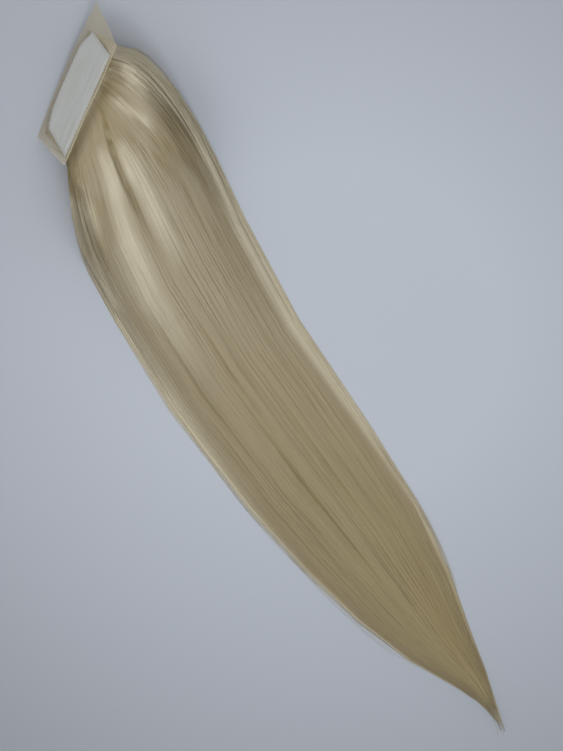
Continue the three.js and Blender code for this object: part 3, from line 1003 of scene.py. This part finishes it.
def fringe(material):
    """Thin strands along both outlines, ever fewer outwards, through which the floor shows."""
    random = np.random.default_rng(13)
    share = random.uniform(0, 1, FRINGE_STRANDS) ** FRINGE_POWER
    on_right = random.uniform(0, 1, FRINGE_STRANDS) < FRINGE_ON_RIGHT
    lying = np.where(on_right, 1, -1) * mix(*FRINGE_LYING, share)
    ends = random.uniform(*FRINGE_ENDS, FRINGE_STRANDS)
    sunk = random.uniform(*FRINGE_SUNK, FRINGE_STRANDS)
    height = random.uniform(*FRINGE_HEIGHTS, FRINGE_STRANDS)
    paths, way, across = strand_paths(random, lying, ends, sunk, height)
    radii = tapered(FRINGE_RADIUS * random.uniform(*FRINGE_RADII, FRINGE_STRANDS))
    strand_piece("hair_fringe", material, paths, way, across, radii, FRINGE_PAINTED_LIGHT)


# Loose locks and single hairs beside the outline: how many hairs, how wide they spread, their radius, and
# the way and across that they pass through.
STRAYS = [
    (8, 0.8, 0.12, [(0.48, 0.86), (0.54, 0.9), (0.59, 0.92), (0.64, 0.94), (0.685, 0.955), (0.72, 0.94)]),
    (4, 0.8, 0.11, [(0.53, 0.88), (0.59, 0.92), (0.64, 0.96), (0.685, 0.99), (0.72, 1.0), (0.74, 0.985)]),
    (2, 1.8, 0.09, [(0.55, -0.95), (0.62, -1.0), (0.69, -1.07), (0.74, -1.13), (0.8, -1.22)]),
    (2, 1.2, 0.09, [(0.42, -0.95), (0.5, -0.98), (0.58, -1.01), (0.64, -1.01), (0.7, -0.98)]),
    (2, 1.0, 0.09, [(0.3, 0.9), (0.38, 0.93), (0.46, 0.94), (0.53, 0.93), (0.6, 0.9)]),
    (3, 1.4, 0.09, [(0.86, -0.95), (0.9, -1.3), (0.94, -1.8), (0.97, -2.6), (0.99, -3.4)]),
]
# Painted light on the stray hairs, which takes away their painted shade.
STRAY_PAINTED_LIGHT = 0.8
STRAY_REACH = 0.6, 1  # share of the table's way that the hairs go
STRAY_HEIGHTS = 0.2, 1.6
STRAY_ARCS = 0.4, 1  # share of an arc, which lands at its end


def stray_group(random, count, width, radius, points):
    """The paths, ways, places across and radii of one row's hairs, which rise in an arc off the floor."""
    share = np.linspace(0, 1, len(STATIONS))
    reach = random.uniform(*STRAY_REACH, count)
    guide = np.stack([through(np.array(points), share * far) for far in reach])
    way, across = guide[..., 0], guide[..., 1]
    across = across + width * random.normal(0, 0.5, (count, 1)) * (0.4 + share) / spread(way)
    low = mix(through(LEFTS, way), through(RIGHTS, way), ((across + 1) / 2)[..., None])
    highest = random.uniform(*STRAY_HEIGHTS, (count, 1))
    height = highest * np.sin(np.pi * share * random.uniform(*STRAY_ARCS, (count, 1)))
    return low + (np.abs(height) + radius)[..., None] * UP, way, across, tapered(np.full(count, radius))


def strays(material):
    random = np.random.default_rng(14)
    groups = [stray_group(random, *row) for row in STRAYS]
    joined = (np.concatenate(kind) for kind in zip(*groups))
    strand_piece("hair_strays", material, *joined, STRAY_PAINTED_LIGHT)


# ---------------------------------------------------------------- stage


# The camera, the lamps and the world's bright side, in metres.
CAMERA_PLACE = (-0.1181, 0.2355, 1.9563)
CAMERA_FORWARD = (0.174, -0.113, -0.978)
CAMERA_RIGHT = (0.544, 0.839, 0.0)
CAMERA_LENS = 136.96
SENSOR = 36


def make_camera():
    data = bpy.data.cameras.new("camera")
    data.sensor_fit = "VERTICAL"
    data.sensor_height = SENSOR
    data.sensor_width = SENSOR
    data.lens = CAMERA_LENS
    camera = bpy.data.objects.new("camera", data)
    back = -Vector(CAMERA_FORWARD).normalized()
    right = Vector(CAMERA_RIGHT)
    right = (right - back * right.dot(back)).normalized()
    up = back.cross(right)
    turn = Matrix((right, up, back)).transposed().to_4x4()
    camera.matrix_world = Matrix.Translation(CAMERA_PLACE) @ turn
    bpy.context.scene.collection.objects.link(camera)
    bpy.context.scene.camera = camera


def area_light(name, place, target, size, power, colour):
    """A soft round lamp that the camera doesn't see."""
    data = bpy.data.lights.new(name, "AREA")
    data.shape = "DISK"
    data.size = size
    data.energy = power
    data.color = colour
    light = bpy.data.objects.new(name, data)
    light.location = place
    aim = Vector(target) - Vector(place)
    light.rotation_euler = aim.to_track_quat("-Z", "Y").to_euler()
    light.visible_camera = False
    bpy.context.scene.collection.objects.link(light)


# Each lamp's name, place, target, size, power and colour.
LAMPS = [
    ("overhead", (0.25, 0.25, 1.3), (0.22, 0.05, 0.0), 1.2, 6.4, (0.93, 0.97, 1.0)),
    ("gloss", (1.48, -0.3, 2.23), (0.13, -0.04, 0.02), 0.6, 12.2, (0.91, 0.98, 1.0)),
    ("fill", (-0.5, -0.35, 0.5), (-0.02, 0.0, 0.03), 0.5, 2.0, (1.0, 1.0, 1.0)),
    ("side", (0.15, 1.1, 0.45), (0.1, 0.1, 0.03), 0.5, 1.0, (1.0, 0.98, 0.95)),
]
FLOOR_REACH = 3000
WORLD_COLOUR = (0.9, 0.95, 1.0, 1)
WORLD_STRENGTHS = 0.36, 0.66  # away from the bright side, and towards it
BRIGHT_SIDE = (0.1, 0.95, 0.3)


def make_floor():
    corners = [(-1, -1, 0), (1, -1, 0), (1, 1, 0), (-1, 1, 0)]
    floor = make_mesh("floor", floor_material(), FLOOR_REACH * np.array(corners), [[0, 1, 2, 3]])


def make_world():
    """Soft light from all round, brighter from one side."""
    world = bpy.data.worlds.new("world")
    world.use_nodes = True
    tree = world.node_tree
    background = tree.nodes["Background"]
    background.inputs["Color"].default_value = WORLD_COLOUR
    towards = add(tree, "ShaderNodeTexCoord").outputs["Generated"]
    facing = add(tree, "ShaderNodeVectorMath", {0: towards, 1: BRIGHT_SIDE}, operation="DOT_PRODUCT")
    strength = scaled(tree, facing.outputs["Value"], *WORLD_STRENGTHS, start=-1.0)
    tree.links.new(strength, background.inputs["Strength"])
    bpy.context.scene.world = world


def make_stage():
    make_floor()
    make_world()
    for lamp in LAMPS:
        area_light(*lamp)
    bpy.context.scene.view_settings.view_transform = "Standard"


def dress_base():
    """The lace, the silk and its stitches. The flat sizes are those of the two outlines."""
    lace = lace_net(thread_material("lace", *LACE_COLOURS))
    silk = silk_sheet(silk_material())
    stitches = silk_stitches(thread_material("stitch", *STITCH_COLOURS))


def dress_hair():
    """The mass of the hair and the strands over and beside it."""
    hair_body(hair_material("hair_under", UNDER_STREAKS_ACROSS))
    hair = hair_material("hair", TOP_STREAKS_ACROSS)
    top_strands(hair)
    side_strands(hair)
    fringe(hair)
    strays(hair)


make_camera()
make_stage()
dress_base()
dress_hair()
